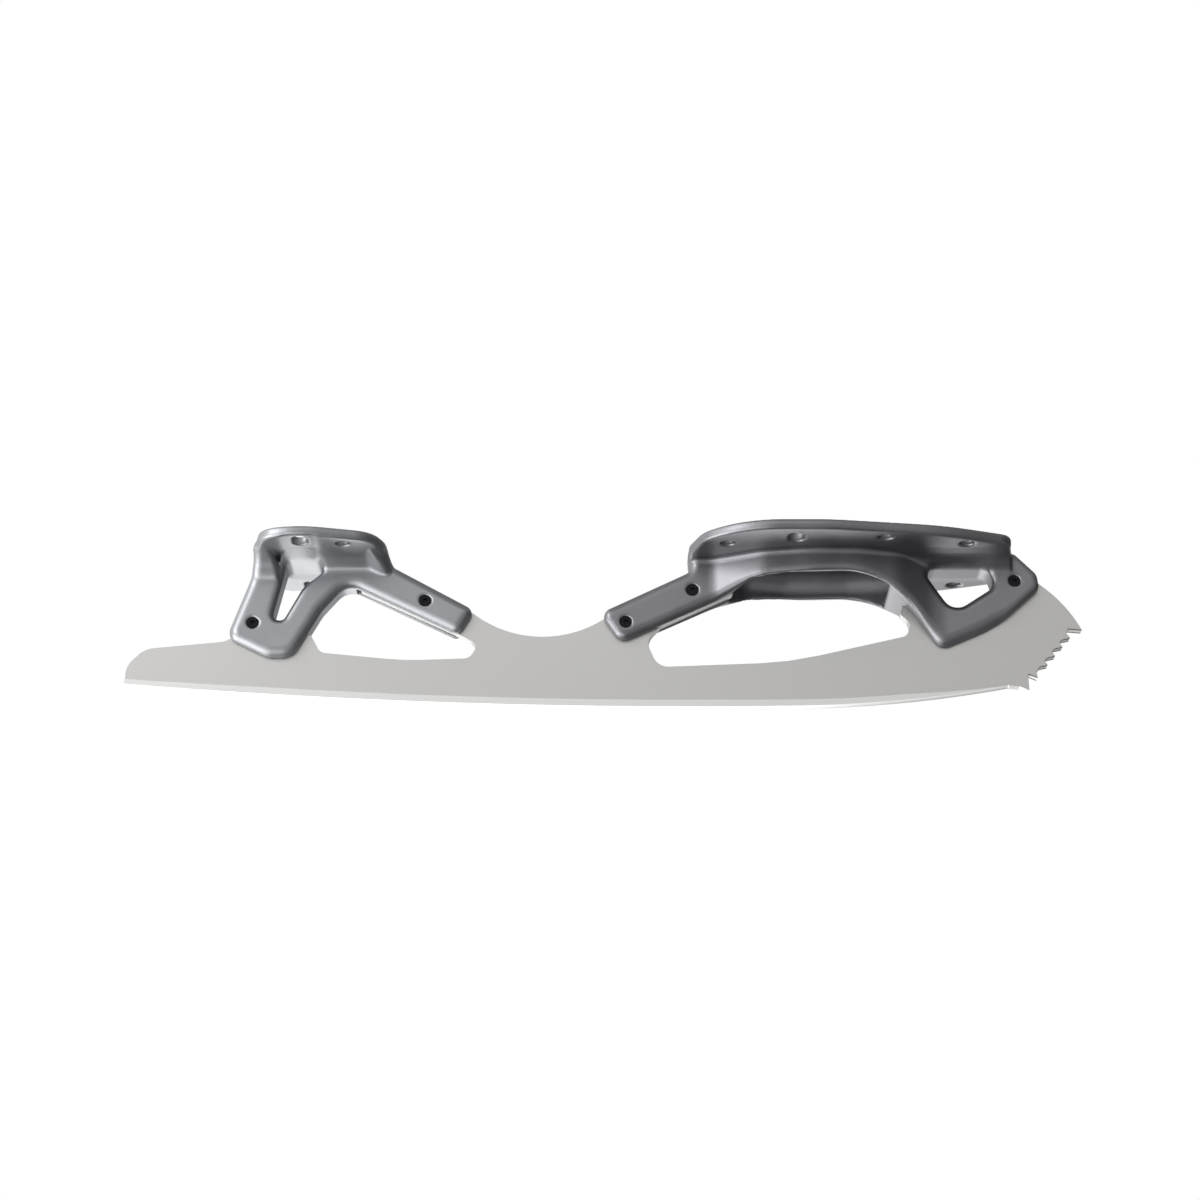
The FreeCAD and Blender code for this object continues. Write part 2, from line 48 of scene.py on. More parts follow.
def colour(text):
    """Linear colour of an sRGB hex string."""
    parts = [int(text[i:i + 2], 16) / 255 for i in (1, 3, 5)]
    return [p / 12.92 if p <= 0.04045 else ((p + 0.055) / 1.055) ** 2.4 for p in parts] + [1.0]


def add_node(tree, kind, settings=None, links=None):
    """A node with its settings and its inputs, each a value or another node's socket."""
    node = tree.nodes.new(kind)
    for name, value in (settings or {}).items():
        setattr(node, name, value)
    for name, value in (links or {}).items():
        socket = node.inputs[name]
        if isinstance(value, bpy.types.NodeSocket):
            tree.links.new(value, socket)
        else:
            socket.default_value = value
    return node


def new_metal(name, base, rough):
    """A metal with one colour and roughness, its node tree and its shader."""
    material = bpy.data.materials.new(name)
    material.use_nodes = True
    tree = material.node_tree
    shader = tree.nodes["Principled BSDF"]
    shader.inputs["Base Color"].default_value = colour(base)
    shader.inputs["Metallic"].default_value = 1.0
    shader.inputs["Roughness"].default_value = rough
    return material, tree, shader


def to_the_metre(size):
    """Scale of a pattern whose marks are this many millimetres apart."""
    return 1000 / size


def blasted_aluminium(name, dull, bright, rough):
    """Cast aluminium, bead blasted: satin grey, a little cloudy, and darker in its corners by painted
    shade.

    The clouds are as wide as the marks of a nozzle that passes over the casting. The beads' own
    dimples are about 0.1 mm and wouldn't show, so the pebbles are drawn four times as coarse.
    """
    material, tree, shader = new_metal(name, bright, rough)
    place = add_node(tree, "ShaderNodeTexCoord").outputs["Object"]
    cloud = add_node(tree, "ShaderNodeTexNoise", links={
        "Vector": place, "Scale": to_the_metre(11.1), "Detail": 4.0})
    tone = add_node(tree, "ShaderNodeValToRGB", links={"Fac": cloud.outputs["Fac"]})
    for stop, position, shade in zip(tone.color_ramp.elements, (0.3, 0.75), (dull, bright)):
        stop.position = position
        stop.color = colour(shade)
    # Painted shade: ambient occlusion within 4 mm darkens the colour in corners, creases and recesses,
    # down to 0.55 of it.
    hollow = add_node(tree, "ShaderNodeAmbientOcclusion", {"samples": 8}, {"Distance": 0.004})
    painted_corner_shade = add_node(tree, "ShaderNodeMapRange", links={
        "Value": hollow.outputs["AO"], "From Min": 0.25, "From Max": 0.8, "To Min": 0.55, "To Max": 1.0})
    shaded = add_node(tree, "ShaderNodeMix", {"data_type": "RGBA", "blend_type": "MULTIPLY"}, {
        0: 1.0, 6: tone.outputs["Color"], 7: painted_corner_shade.outputs["Result"]})
    tree.links.new(shaded.outputs[2], shader.inputs["Base Color"])
    gloss = add_node(tree, "ShaderNodeMapRange", links={
        "Value": cloud.outputs["Fac"], "From Min": 0.3, "From Max": 0.7,
        "To Min": rough - 0.04, "To Max": rough + 0.06})
    tree.links.new(gloss.outputs["Result"], shader.inputs["Roughness"])
    pebble = add_node(tree, "ShaderNodeTexNoise", links={
        "Vector": place, "Scale": to_the_metre(0.385), "Detail": 2.0})
    bump = add_node(tree, "ShaderNodeBump", links={
        "Height": pebble.outputs["Fac"], "Strength": 0.12, "Distance": 0.0002})
    tree.links.new(bump.outputs["Normal"], shader.inputs["Normal"])
    return material


def arc_points(corners, step=3):
    """Points round a closed outline of (u, v, radius) corners, a chord to each step degrees."""
    points = []
    count = len(corners)
    for i, (u, v, radius) in enumerate(corners):
        here = np.array((u, v), float)
        if not radius:
            points.append(here)
            continue
        back = np.array(corners[i - 1][:2], float) - here
        ahead = np.array(corners[(i + 1) % count][:2], float) - here
        back /= np.linalg.norm(back)
        ahead /= np.linalg.norm(ahead)
        half = math.acos(np.clip(back @ ahead, -1, 1)) / 2
        middle = back + ahead
        centre = here + middle / np.linalg.norm(middle) * radius / math.sin(half)
        first = here + back * radius / math.tan(half) - centre
        last = here + ahead * radius / math.tan(half) - centre
        sweep = math.atan2(first[0] * last[1] - first[1] * last[0], first @ last)
        chords = max(2, int(abs(math.degrees(sweep)) / step) + 1)
        for k in range(chords + 1):
            a = sweep * k / chords
            points.append(centre + (first[0] * math.cos(a) - first[1] * math.sin(a),
                                    first[0] * math.sin(a) + first[1] * math.cos(a)))
    return np.array(points)


def distance(corners, u, v):
    """Signed distance on a flat grid to a rounded outline, negative inside it."""
    points = arc_points(corners)
    nearest = np.full(np.broadcast(u, v).shape, 1e9)
    inside = np.zeros(nearest.shape, bool)
    for (au, av), (bu, bv) in zip(points, np.roll(points, -1, axis=0)):
        eu, ev = bu - au, bv - av
        length = eu * eu + ev * ev
        if length < 1e-12:
            continue
        along = np.clip(((u - au) * eu + (v - av) * ev) / length, 0, 1)
        nearest = np.minimum(nearest, (u - au - along * eu) ** 2 + (v - av - along * ev) ** 2)
        if ev:
            inside ^= ((av <= v) != (bv <= v)) & (u < au + (v - av) * eu / ev)
    return np.where(inside, -1, 1) * np.sqrt(nearest)


def on_side(corners, x, z):
    """An outline seen from the side, as a field that is the same across the blade."""
    return distance(corners, x[:, 0, 0][:, None], z[0, 0][None, :])[:, None, :]


def on_plan(corners, x, y):
    """An outline seen from above, as a field that is the same at every height."""
    return distance(corners, x[:, 0, 0][:, None], y[0, :, 0][None, :])[:, :, None]


def mirrored(half):
    """The whole outline of a plate, from the corners on its far side."""
    return [(x, -y, r) for x, y, r in half] + half[::-1]


def both(a, b, r):
    """What lies inside both, the edge between them rounded by r."""
    return np.minimum(-r, np.maximum(a, b)) + np.hypot(np.maximum(r + a, 0), np.maximum(r + b, 0))


def either(a, b, r):
    """What lies inside either, the corner between them filled by r."""
    return np.maximum(r, np.minimum(a, b)) - np.hypot(np.maximum(r - a, 0), np.maximum(r - b, 0))


def lesser(a, b, soft):
    """The smaller of two fields, the change from one to the other softened."""
    near = np.maximum(soft - abs(a - b), 0)
    return np.minimum(a, b) - near ** 2 / (4 * soft)


def ramp(value, low, high):
    """From 0 at the low value to 1 at the high one, without a corner at either."""
    t = np.clip((value - low) / (high - low), 0, 1)
    return t * t * (3 - 2 * t)


def casting_grid(low, high, steps):
    """Grid lines along each axis round a casting, and the three coordinates of its fields."""
    axes = [np.arange(a - 2.5 * s, b + 2.5 * s, s) for a, b, s in zip(low, high, steps)]
    x, y, z = axes
    return axes, x[:, None, None], y[None, :, None], z[None, None, :]


# Both castings share these sizes. A leg or an arm is 11 wide, a wall sweeps out by flare to meet a
# plate, and the floor of a screw head's recess is head_floor away from the blade's middle plane.
plate_thick = 3.2
leg_half = 5.5
flare = 9.5
slot_half = 2.05
bore_radius = 1.4
head_radius = 1.85
head_floor = 3.9
boot_hole_radius = 2.3
oval_width = 4.8


def swept_out(z, foot):
    """How far a wall has swept outwards at a height: a quarter ellipse, from its foot to the plate."""
    rise = np.clip((z - foot) / (-plate_thick - foot), 0, 1)
    return flare * (1 - np.sqrt(1 - rise ** 2))


def swollen(width, growth):
    """A half-width over a side view, grown where a part of it stands further out than the leg.

    The corner between the two is filled softly. A growth of nothing is drawn in first, because
    filling would thicken the leg there.
    """
    fill = 1.2
    growth = growth - fill * (1 - ramp(growth, 0, 4.0))
    return -lesser(-width, -(leg_half + growth), fill)


def flank(width, axes, y):
    """Signed distance to a wall whose half-width changes along it and up it, by up to 60 degrees."""
    along, up = np.gradient(width[:, 0, :], axes[0], axes[2])
    lean = np.sqrt(1 + np.minimum(along ** 2 + up ** 2, 3.0))
    return (abs(y) - width) / lean[:, None, :]


def seat_plate(half, x, y, z):
    """The plate under the boot, its lower edge rounded by 1.3 and its upper one broken by 0.6."""
    slab = both(on_plan(mirrored(half), x, y), -z - plate_thick, 1.3)
    return both(slab, z, 0.6)


def round_holes(centres, x, y):
    """Holes for the boot's screws, a pair for each centre on the far side."""
    return np.min([np.hypot(x - u, abs(y) - w) for u, w in centres], axis=0) - boot_hole_radius


def oval_holes(u, w, length, x, y):
    """A pair of slots across the blade, in which the boot's screws can be shifted."""
    beyond = np.maximum(abs(abs(y) - w) - (length - oval_width) / 2, 0)
    return np.hypot(x - u, beyond) - oval_width / 2


def machined(body, slots, screws, holes, x, y, z):
    """A casting with the runner's slots, the screws' bores and recesses, and the boot's holes.

    The edges of the recesses are broken by 0.2, and those of the boot's holes by 0.4.
    """
    slot = np.maximum(np.minimum(*slots), abs(y) - slot_half)
    body = both(body, -slot, 0.0)
    away = np.min([np.hypot(x - u, z - w) for u, w in screws], axis=0)
    recess = both(away - head_radius, head_floor - abs(y), 0.0)
    body = both(body, -np.minimum(recess, away - bore_radius), 0.2)
    return both(body, -holes, 0.4)


def skin(name, field, axes, shift=0.0):
    """A mesh over the zero surface of a field on a grid: one vertex in each cell that it crosses.

    The vertex is the middle of the places where the surface crosses the cell's edges, and each
    crossed edge has a face between the four cells round it.
    """
    cells = tuple(n - 1 for n in field.shape)
    total = np.zeros(cells + (3,))
    count = np.zeros(cells)
    edges = []
    for k in range(3):
        p, q = (k + 1) % 3, (k + 2) % 3
        low = np.take(field, range(field.shape[k] - 1), axis=k)
        high = np.take(field, range(1, field.shape[k]), axis=k)
        crossed = (low < 0) != (high < 0)
        t = np.where(crossed, low / np.where(crossed, low - high, 1), 0)
        index = np.indices(low.shape)
        place = [None] * 3
        start = axes[k][index[k]]
        place[k] = start + t * (axes[k][index[k] + 1] - start)
        place[p] = axes[p][index[p]]
        place[q] = axes[q][index[q]]
        for dp in (0, 1):
            for dq in (0, 1):
                cut = [slice(None)] * 3
                cut[p] = slice(dp, dp + cells[p])
                cut[q] = slice(dq, dq + cells[q])
                here = crossed[tuple(cut)]
                count += here
                for axis in range(3):
                    total[..., axis] += np.where(here, place[axis][tuple(cut)], 0)
        edges.append((k, p, q, crossed, low < 0))
    used = count > 0
    number = np.full(cells, -1)
    number[used] = np.arange(used.sum())
    verts = total[used] / count[used][:, None]
    faces = []
    for k, p, q, crossed, starts_inside in edges:
        cut = [slice(None)] * 3
        cut[p] = slice(1, crossed.shape[p] - 1)
        cut[q] = slice(1, crossed.shape[q] - 1)
        at = np.argwhere(crossed[tuple(cut)])
        at[:, p] += 1
        at[:, q] += 1
        outward = starts_inside[tuple(at.T)]
        ring = []
        for dp, dq in ((-1, -1), (0, -1), (0, 0), (-1, 0)):
            cell = at.copy()
            cell[:, p] += dp
            cell[:, q] += dq
            ring.append(number[tuple(cell.T)])
        ring = np.stack(ring, axis=1)
        ring[~outward] = ring[~outward][:, ::-1]
        faces.append(ring)
    faces = np.concatenate(faces)
    verts[:, 0] += shift
    mesh = bpy.data.meshes.new(name)
    mesh.from_pydata((verts / 1000).tolist(), [], faces.tolist())
    mesh.shade_smooth()
    piece = bpy.data.objects.new(name, mesh)
    bpy.context.scene.collection.objects.link(piece)
    return piece


axes, x, y, z = casting_grid((-78.5, -34.6, -35), (63, 34.6, 0), (0.55, 0.55, 0.45))
sole_side = on_side([
    (-78.1, -20.8, 3), (-71.4, -30.6, 4), (-28.0, -10.8, 30), (13.8, -9.6, 30), (30.3, -33.0, 4),
    (48.2, -25.3, 40), (62.2, -12.6, 3), (61.4, -7.8, 3), (54.6, -1.0, 0), (-48.8, -1.0, 0),
    (-49.2, -6.9, 3)], x, z)

# The arm and the leg are narrow, and the arch between them is wide. This is its half-width along
# the blade.
arch = arc_points([
    (-100.0, leg_half, 0), (-42.0, leg_half, 8), (-26.5, 13.3, 14), (-11.0, 16.0, 40), (4.0, 15.8, 30),
    (16.0, 12.9, 18), (29.0, leg_half, 14), (100.0, leg_half, 0), (0.0, -90.0, 0)])
arch = np.interp(x, arch[:-1, 0], arch[:-1, 1])

# The walls sweep out to carry the plate, not at its rear end, and end steeply under its front end.
sweep = swept_out(z, -11.5) * ramp(x, -20, -5)
front_end = flare - 3.0 * (x - 50.5)
half_width = swollen(arch + 0 * z, lesser(sweep, front_end, 1.5))

# The edges are rounded by 2.6 along the arm, less along the arch and at the toe end, and more on
# the leg.
on_arch = ramp(x, -40, -26) * (1 - ramp(x, 12, 22))
round_edge = 2.6 - 1.1 * on_arch + 1.0 * ramp(x, 22, 30) - 1.6 * ramp(x, 46, 55)
body = both(sole_side, flank(half_width, axes, y), round_edge)
plate = seat_plate([
    (-49.6, 9.5, 10), (-45.5, 22.5, 16), (-32.0, 34.3, 30), (-6.0, 34.3, 60), (30.0, 28.4, 80),
    (51.8, 19.3, 6), (52.8, 8.0, 6)], x, y, z)
body = either(body, plate, 1.8)

# The arch is hollow from below up to the plate. The hollow's front wall leans forwards, 1 in 2, and
# the last factor makes its field a distance.
hollow_plan = on_plan(mirrored([
    (-36.5, 4.0, 0), (-30.5, 10.4, 6), (-18.0, 13.4, 15), (2.0, 13.4, 15), (20.0, 11.2, 0)]), x, y)
front_wall = (x - 15.0 - 0.5 * (z + 11.0)) * 0.89
hollow = both(both(hollow_plan, z + plate_thick, 6.0), front_wall, 0.8)
body = both(body, -hollow, 0.5)
window = on_side([
    (24.5, -6.4, 2.2), (34.6, -20.7, 4.8), (47.7, -12.1, 3.2), (45.8, -6.4, 3.8)], x, z)
body = both(body, -window, 2.0)

front_slot = on_side([
    (60.65, -9.2, 0), (57.6, -6.35, 2), (50.15, -6.35, 1.5), (50.15, -14.6, 2), (38.0, -22.55, 3),
    (29.8, -22.35, 2), (24.6, -14.95, 1), (20.4, -14.95, 1.5), (17.35, -20.4, 0), (17.35, -45, 0),
    (70, -45, 0), (70, -9.2, 0)], x, z)
rear_slot = on_side([
    (-34.55, -13.2, 1.5), (-39.0, -7.15, 2), (-48.0, -7.15, 3), (-75.7, -21.45, 0), (-95, -21.45, 0),
    (-95, -45, 0), (-34.55, -45, 0)], x, z)
sole_screws = [(-69.7, -24.1), (-48.4, -13.4), (54.1, -10.4)]
holes = np.minimum(round_holes([(-37.65, 20.0), (37.65, 20.0), (11.65, 25.5)], x, y),
                   oval_holes(-16.25, 25.5, 7.8, x, y))
body = machined(body, (front_slot, rear_slot), sole_screws, holes, x, y, z)

sole = skin("sole_casting", body, axes)
# Painted shade: the sole's casting is given a darker grey than the heel's, though both are one alloy.
sole.data.materials.append(blasted_aluminium("blasted_aluminium_sole_painted_shade", "#838387", "#8d8d91", 0.38))
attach(sole, "root")
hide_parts("sole_chassis")


# Heel chassis: the stand under the heel, an aluminium casting like the sole's, of the same
# alloy; its lighter grey is painted light, and the sole's darker grey painted shade.
# A leg with a narrow window and an arm that reaches forwards carry its plate, and it is blasted and
# machined in the same way. Its sizes along the blade start at the middle of its plate, heel_x.

heel_x = -165.6
axes, x, y, z = casting_grid((-31.5, -28.8, -37.2), (48.5, 28.8, 0), (0.5, 0.5, 0.4))
heel_side = on_side([
    (-21.9, -1.0, 0), (-23.4, -8.0, 20), (-31.0, -28.9, 4), (-17.6, -35.5, 6), (-9.6, -35.4, 6),
    (-0.9, -20.0, 12), (7.0, -10.8, 6), (43.0, -28.2, 3), (48.1, -19.8, 3), (21.7, -5.2, 6),
    (19.7, -1.0, 0)], x, z)

# The walls sweep out to the plate from the window's rear edge forwards, and stay narrow behind it.
rear_end = flare + 2.7 * (x + 12.0)
sweep = lesser(swept_out(z, -10.5), rear_end, 2.5)

# A ridge stands out under the plate's front end. It leans back as it climbs, is 8 long behind its
# crest and ends in a steep front.
up_ridge = np.clip((z + 9.4) / 5.8, 0, 1.1)
past_crest = x - 21.0 + 5.9 * up_ridge
ridge = flare * up_ridge * (1 + np.clip(past_crest, -8.0, 0) / 8.0) ** 2
front_end = flare * up_ridge - past_crest

# The pillar behind the window widens slowly at first, then fast towards the plate.
climb = np.clip((z + 17.0) / 13.8, 0, 1)
pillar_front = 10.5 - 3.0 * (x + 17.5)
pillar = lesser(10.5 * climb ** 3, pillar_front, 2.5)
half_width = leg_half + 0 * (x + z)
for growth in (lesser(sweep, front_end, 1.5), lesser(ridge, front_end, 1.5), pillar):
    half_width = swollen(half_width, growth)
body = both(heel_side, flank(half_width, axes, y), 3.2)
plate = seat_plate([
    (-22.2, 10.0, 8), (-19.0, 25.0, 9), (-7.0, 29.1, 24), (16.0, 22.7, 11), (19.8, 12.0, 18)], x, y, z)
body = either(body, plate, 1.0)
window = on_side([
    (-12.0, -3.9, 2.5), (-16.6, -23.2, 1.8), (-12.9, -23.2, 1.8), (-6.9, -12.0, 10), (-0.9, -7.2, 1.5),
    (-2.0, -3.9, 1.5)], x, z)
body = both(body, -window, 2.2)

rear_slot = on_side([
    (-4.15, -27.6, 0), (-8.4, -26.15, 2), (-18.95, -26.15, 1.5), (-18.95, -18.55, 1.5),
    (-24.85, -18.55, 1.5), (-27.05, -27.4, 0), (-27.05, -50, 0), (-4.15, -50, 0)], x, z)
front_slot = on_side([
    (47.45, -20.35, 0), (22.6, -7.55, 3), (15.6, -7.55, 2), (10.05, -11.8, 1), (10.05, -50, 0),
    (60, -50, 0), (60, -20.35, 0)], x, z)
heel_screws = [(-22.5, -24.4), (32.1, -17.0)]
holes = np.minimum(round_holes([(6.65, 19.6)], x, y), oval_holes(-6.65, 21.6, 8.0, x, y))
body = machined(body, (front_slot, rear_slot), heel_screws, holes, x, y, z)

heel = skin("heel_casting", body, axes, shift=heel_x)
# Painted light: the heel's casting is given a lighter grey than the sole's, though both are one alloy.
heel.data.materials.append(blasted_aluminium("blasted_aluminium_heel_painted_light", "#9b9da0", "#a4a6a9", 0.40))
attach(heel, "root")
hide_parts("heel_chassis")


# Runner: a 4 mm stainless steel plate, cut to its outline with the picks at its toe. Its lower edge
# is ground to a long curve, with a bright band on each side and a hollow between its two edges, and
# its lugs stand in the slots of the castings.

runner_half = 2.0
broken_edge = 0.08
lowest_x, lowest_z = -50.0, -51.2
rocker = 2134.0
front_rocker = 395.0
front_rocker_from = -15.0
tail_x, drag_pick_x = -228.4, 51.0
band_depth = 0.1
hollow_radius = 11.1
hollow_depth = 0.16


def bottom(x):
    """Height of the ground edge: a long rocker, and a tighter one from under the arch to the toe."""
    centre = rocker + lowest_z
    if x <= front_rocker_from:
        return centre - math.sqrt(rocker ** 2 - (x - lowest_x) ** 2)
    start = centre - math.sqrt(rocker ** 2 - (front_rocker_from - lowest_x) ** 2)
    centre_x = front_rocker_from + (lowest_x - front_rocker_from) * front_rocker / rocker
    centre_z = start + (centre - start) * front_rocker / rocker
    return centre_z - math.sqrt(front_rocker ** 2 - (x - centre_x) ** 2)


def arc_through(first, middle, last, count):
    """Points on the arc through three, the two ends left out."""
    a, m, b = (complex(*p) for p in (first, middle, last))
    w = (b - a) / (m - a)
    centre = a + (m - a) * (w - abs(w) ** 2) / (w - w.conjugate())
    start, end = a - centre, b - centre
    sweep = math.atan2((end / start).imag, (end / start).real)
    points = []
    for k in range(1, count):
        angle = sweep * k / count
        turned = centre + start * complex(math.cos(angle), math.sin(angle))
        points.append((turned.real, turned.imag, 0))
    return points


# The outline starts at the tail's lower corner and runs forwards along the ground edge, up the
# picks, over the crown of the toe, and back along the lugs, the windows and the dip between the
# castings. The picks are the drag pick, a tooth behind it, four teeth each 2.5 further forwards and
# 3 higher than the last, and the top pick.
ground_edge = [(u, bottom(u), 0) for u in np.linspace(tail_x, drag_pick_x, 90)]
picks = [(54.8, -44.6, 0), (57.8, -46.0, 0), (57.6, -40.4, 0.3), (60.6, -41.6, 0), (60.3, -39.6, 0)]
for k in range(4):
    u, w = 64.0 + 2.5 * k, -37.5 + 3.0 * k
    picks += [(u - 2.6, w - 0.6, 0.5), (u, w, 0.12), (u - 1.1, w + 1.4, 0.5)]
picks += [(70.9, -25.4, 0.3), (75.3, -25.8, 0)]
crown = arc_through((75.3, -25.8), (69.9, -17.6), (60.6, -9.2), 24)
front_lug = [
    (60.6, -9.2, 0), (57.6, -6.4, 2), (50.2, -6.4, 1.5), (50.2, -14.6, 2), (38.0, -22.6, 3),
    (29.8, -22.4, 2), (24.6, -15.0, 1), (20.4, -15.0, 1.5), (17.4, -20.4, 0.8)]
front_window = [
    (20.8, -23.6, 3), (19.9, -27.8, 2.8), (-18.0, -36.6, 100), (-59.5, -38.2, 5), (-63.4, -29.5, 5)]
rear_arm = [
    (-58.4, -24.3, 1), (-34.6, -13.2, 1.5), (-39.0, -7.2, 2), (-48.0, -7.2, 3), (-75.7, -21.5, 0)]
dip = arc_through((-75.7, -21.5), (-96.95, -28.1), (47.4 + heel_x, -20.4), 24)
under_heel = [
    (47.4, -20.4, 0), (22.6, -7.6, 3), (15.6, -7.6, 2), (10.1, -11.8, 1), (41.4, -26.6, 1),
    (49.0, -30.8, 2.5), (46.1, -35.3, 3), (25.6, -36.0, 80), (-1.2, -33.4, 3.2),
    (-4.2, -27.6, 0.8), (-8.4, -26.2, 2), (-19.0, -26.2, 1.5), (-19.0, -18.6, 1.5), (-24.8, -18.6, 1.5),
    (-27.0, -27.4, 0.8), (-31.9, -29.8, 4), (-56.9, -32.2, 8), (-62.7, -38.0, 7)]
outline = ground_edge + picks + crown + front_lug + front_window + rear_arm + dip
outline += [(u + heel_x, w, r) for u, w, r in under_heel]


def plate_of(name, loops, half, edge):
    """A flat plate upright along X, from loops of points in millimetres, with its edges broken."""
    curve = bpy.data.curves.new(name, "CURVE")
    curve.dimensions = "2D"
    curve.fill_mode = "BOTH"
    curve.extrude = half - edge
    curve.bevel_depth = edge
    curve.offset = -edge
    curve.bevel_resolution = 1
    for loop in loops:
        line = curve.splines.new("POLY")
        line.points.add(len(loop) - 1)
        for point, (u, w) in zip(line.points, loop):
            point.co = (u, w, 0, 1)
        line.use_cyclic_u = True
    holder = bpy.data.objects.new(name, curve)
    bpy.context.scene.collection.objects.link(holder)
    mesh = bpy.data.meshes.new_from_object(holder.evaluated_get(bpy.context.evaluated_depsgraph_get()))
    bpy.data.objects.remove(holder)
    mesh.transform(Matrix.Rotation(math.pi / 2, 4, "X"))
    mesh.transform(Matrix.Scale(0.001, 4))
    return bpy.data.objects.new(name, mesh)


def cut_away(piece, cutter):
    """Takes a cutter out of a piece; the cut faces keep the cutter's finish."""
    for item in (piece, cutter):
        if not item.users_collection:
            bpy.context.scene.collection.objects.link(item)
    cut = piece.modifiers.new("cut", "BOOLEAN")
    cut.operation = "DIFFERENCE"
    cut.solver = "EXACT"
    cut.object = cutter
    cut.material_mode = "TRANSFER"
    mesh = bpy.data.meshes.new_from_object(piece.evaluated_get(bpy.context.evaluated_depsgraph_get()))
    piece.modifiers.clear()
    piece.data = mesh
    bpy.data.objects.remove(cutter)


def ground_steel(name, base, rough, grain):
    """Stainless steel, ground lengthwise: a soft sheen with faint streaks along the blade.

    The scratches are about 25 mm long. The belt's grit leaves them some 0.05 mm apart, too fine to
    show, so they are drawn 0.24 mm apart up the plate and 1.1 mm apart across its edges.
    """
    material, tree, shader = new_metal(name, base, rough)
    place = add_node(tree, "ShaderNodeTexCoord").outputs["Object"]
    drawn = add_node(tree, "ShaderNodeMapping", links={
        "Vector": place, "Scale": [to_the_metre(size) for size in (25, 1.11, 0.238)]})
    scratch = add_node(tree, "ShaderNodeTexNoise", links={
        "Vector": drawn.outputs["Vector"], "Scale": 1.0, "Detail": 3.0})
    gloss = add_node(tree, "ShaderNodeMapRange", links={
        "Value": scratch.outputs["Fac"], "From Min": 0.3, "From Max": 0.7,
        "To Min": rough - 0.05, "To Max": rough + 0.05})
    tree.links.new(gloss.outputs["Result"], shader.inputs["Roughness"])
    bump = add_node(tree, "ShaderNodeBump", links={
        "Height": scratch.outputs["Fac"], "Strength": grain, "Distance": 0.0001})
    tree.links.new(bump.outputs["Normal"], shader.inputs["Normal"])
    return material


circle = [(math.cos(a), math.sin(a)) for a in np.linspace(0, 2 * math.pi, 28, endpoint=False)]
loops = [[tuple(p) for p in arc_points(outline, 8)]]
for u, w in [(u + heel_x, w) for u, w in heel_screws] + sole_screws:
    loops.append([(u + bore_radius * c, w + bore_radius * s) for c, s in circle])
runner = plate_of("runner_plate", loops, runner_half, broken_edge)
satin_steel = ground_steel("satin_stainless_steel", "#cdccca", 0.42, 0.03)
bright_steel = ground_steel("ground_stainless_steel", "#e8e8e6", 0.38, 0.03)
runner.data.materials.append(satin_steel)

# The bright band lies a little below the satin faces. It is widest under the heel and runs out at
# the toe.
band_x = np.linspace(tail_x - 2, drag_pick_x, 120)
band_height = np.interp(band_x, [-228, -185, -40, 18, 51], [1.6, 2.2, 2.3, 1.9, 0.0])
band = [(u, bottom(u) + height) for u, height in zip(band_x, band_height)]
band += [(u, bottom(u) - 2.0) for u in band_x[::-1]]
for side in (-1, 1):
    cutter = plate_of("band_cutter", [band], 0.5, 0.0)
    offset = (0.5 + runner_half - band_depth) / 1000
    cutter.data.transform(Matrix.Translation((0, side * offset, 0)))
    cutter.data.materials.append(bright_steel)
    cut_away(runner, cutter)

# The hollow between the two edges that ride on the ice, from the tail to the drag pick.
grind = bmesh.new()
rows = []
for u in np.linspace(tail_x - 2, drag_pick_x + 0.5, 120):
    row = []
    for v in np.linspace(-2.4, 2.4, 13):
        drop = hollow_radius - math.sqrt(hollow_radius ** 2 - v * v)
        row.append((v, bottom(u) + hollow_depth - drop))
    row += [(2.4, bottom(u) - 2), (-2.4, bottom(u) - 2)]
    rows.append([grind.verts.new((u / 1000, v / 1000, w / 1000)) for v, w in row])
for first, second in zip(rows, rows[1:]):
    for k in range(len(first)):
        after = (k + 1) % len(first)
        grind.faces.new((first[k], first[after], second[after], second[k]))
grind.faces.new(rows[0][::-1])
grind.faces.new(rows[-1])
bmesh.ops.recalc_face_normals(grind, faces=grind.faces)
mesh = bpy.data.meshes.new("hollow_cutter")
grind.to_mesh(mesh)
grind.free()
mesh.materials.append(bright_steel)
cut_away(runner, bpy.data.objects.new("hollow_cutter", mesh))

# The undersides of the picks are cut, not ground: bare steel in the middle, and painted shade
# along their edges, a dark brown that stands in for the shade and dark reflection there.
cut_steel, tree, shader = new_metal("pick_undersides", "#cfcdc8", 0.5)
place = add_node(tree, "ShaderNodeTexCoord").outputs["Object"]
across = add_node(tree, "ShaderNodeSeparateXYZ", links={"Vector": place}).outputs["Y"]
off_middle = add_node(tree, "ShaderNodeMath", {"operation": "ABSOLUTE"}, {0: across}).outputs[0]
# Painted shade: dark brown from 0.8 mm off the middle, full beyond 1.3 mm, towards both edges.
painted_edge_shade = add_node(tree, "ShaderNodeMapRange", links={
    "Value": off_middle, "From Min": 0.0008, "From Max": 0.0013})
tint = add_node(tree, "ShaderNodeMix", {"data_type": "RGBA"}, {
    0: painted_edge_shade.outputs["Result"], 6: colour("#cfcdc8"), 7: colour("#3a332c")})
tree.links.new(tint.outputs[2], shader.inputs["Base Color"])
runner.data.materials.append(cut_steel)
cut_index = [m.name for m in runner.data.materials].index("pick_undersides")
first_pick_x = 0.0572
for face in runner.data.polygons:
    faces_down = face.normal.z < -0.15 and abs(face.normal.y) < 0.9
    if face.center.x > first_pick_x and faces_down:
        face.material_index = cut_index
    face.use_smooth = False
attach(runner, "root")
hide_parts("runner")


# Fastenings: five socket screws from the near side and the sleeve nuts that they turn into from the
# far side. They are machined steel with a black oxide skin, and clamp the castings on the runner.

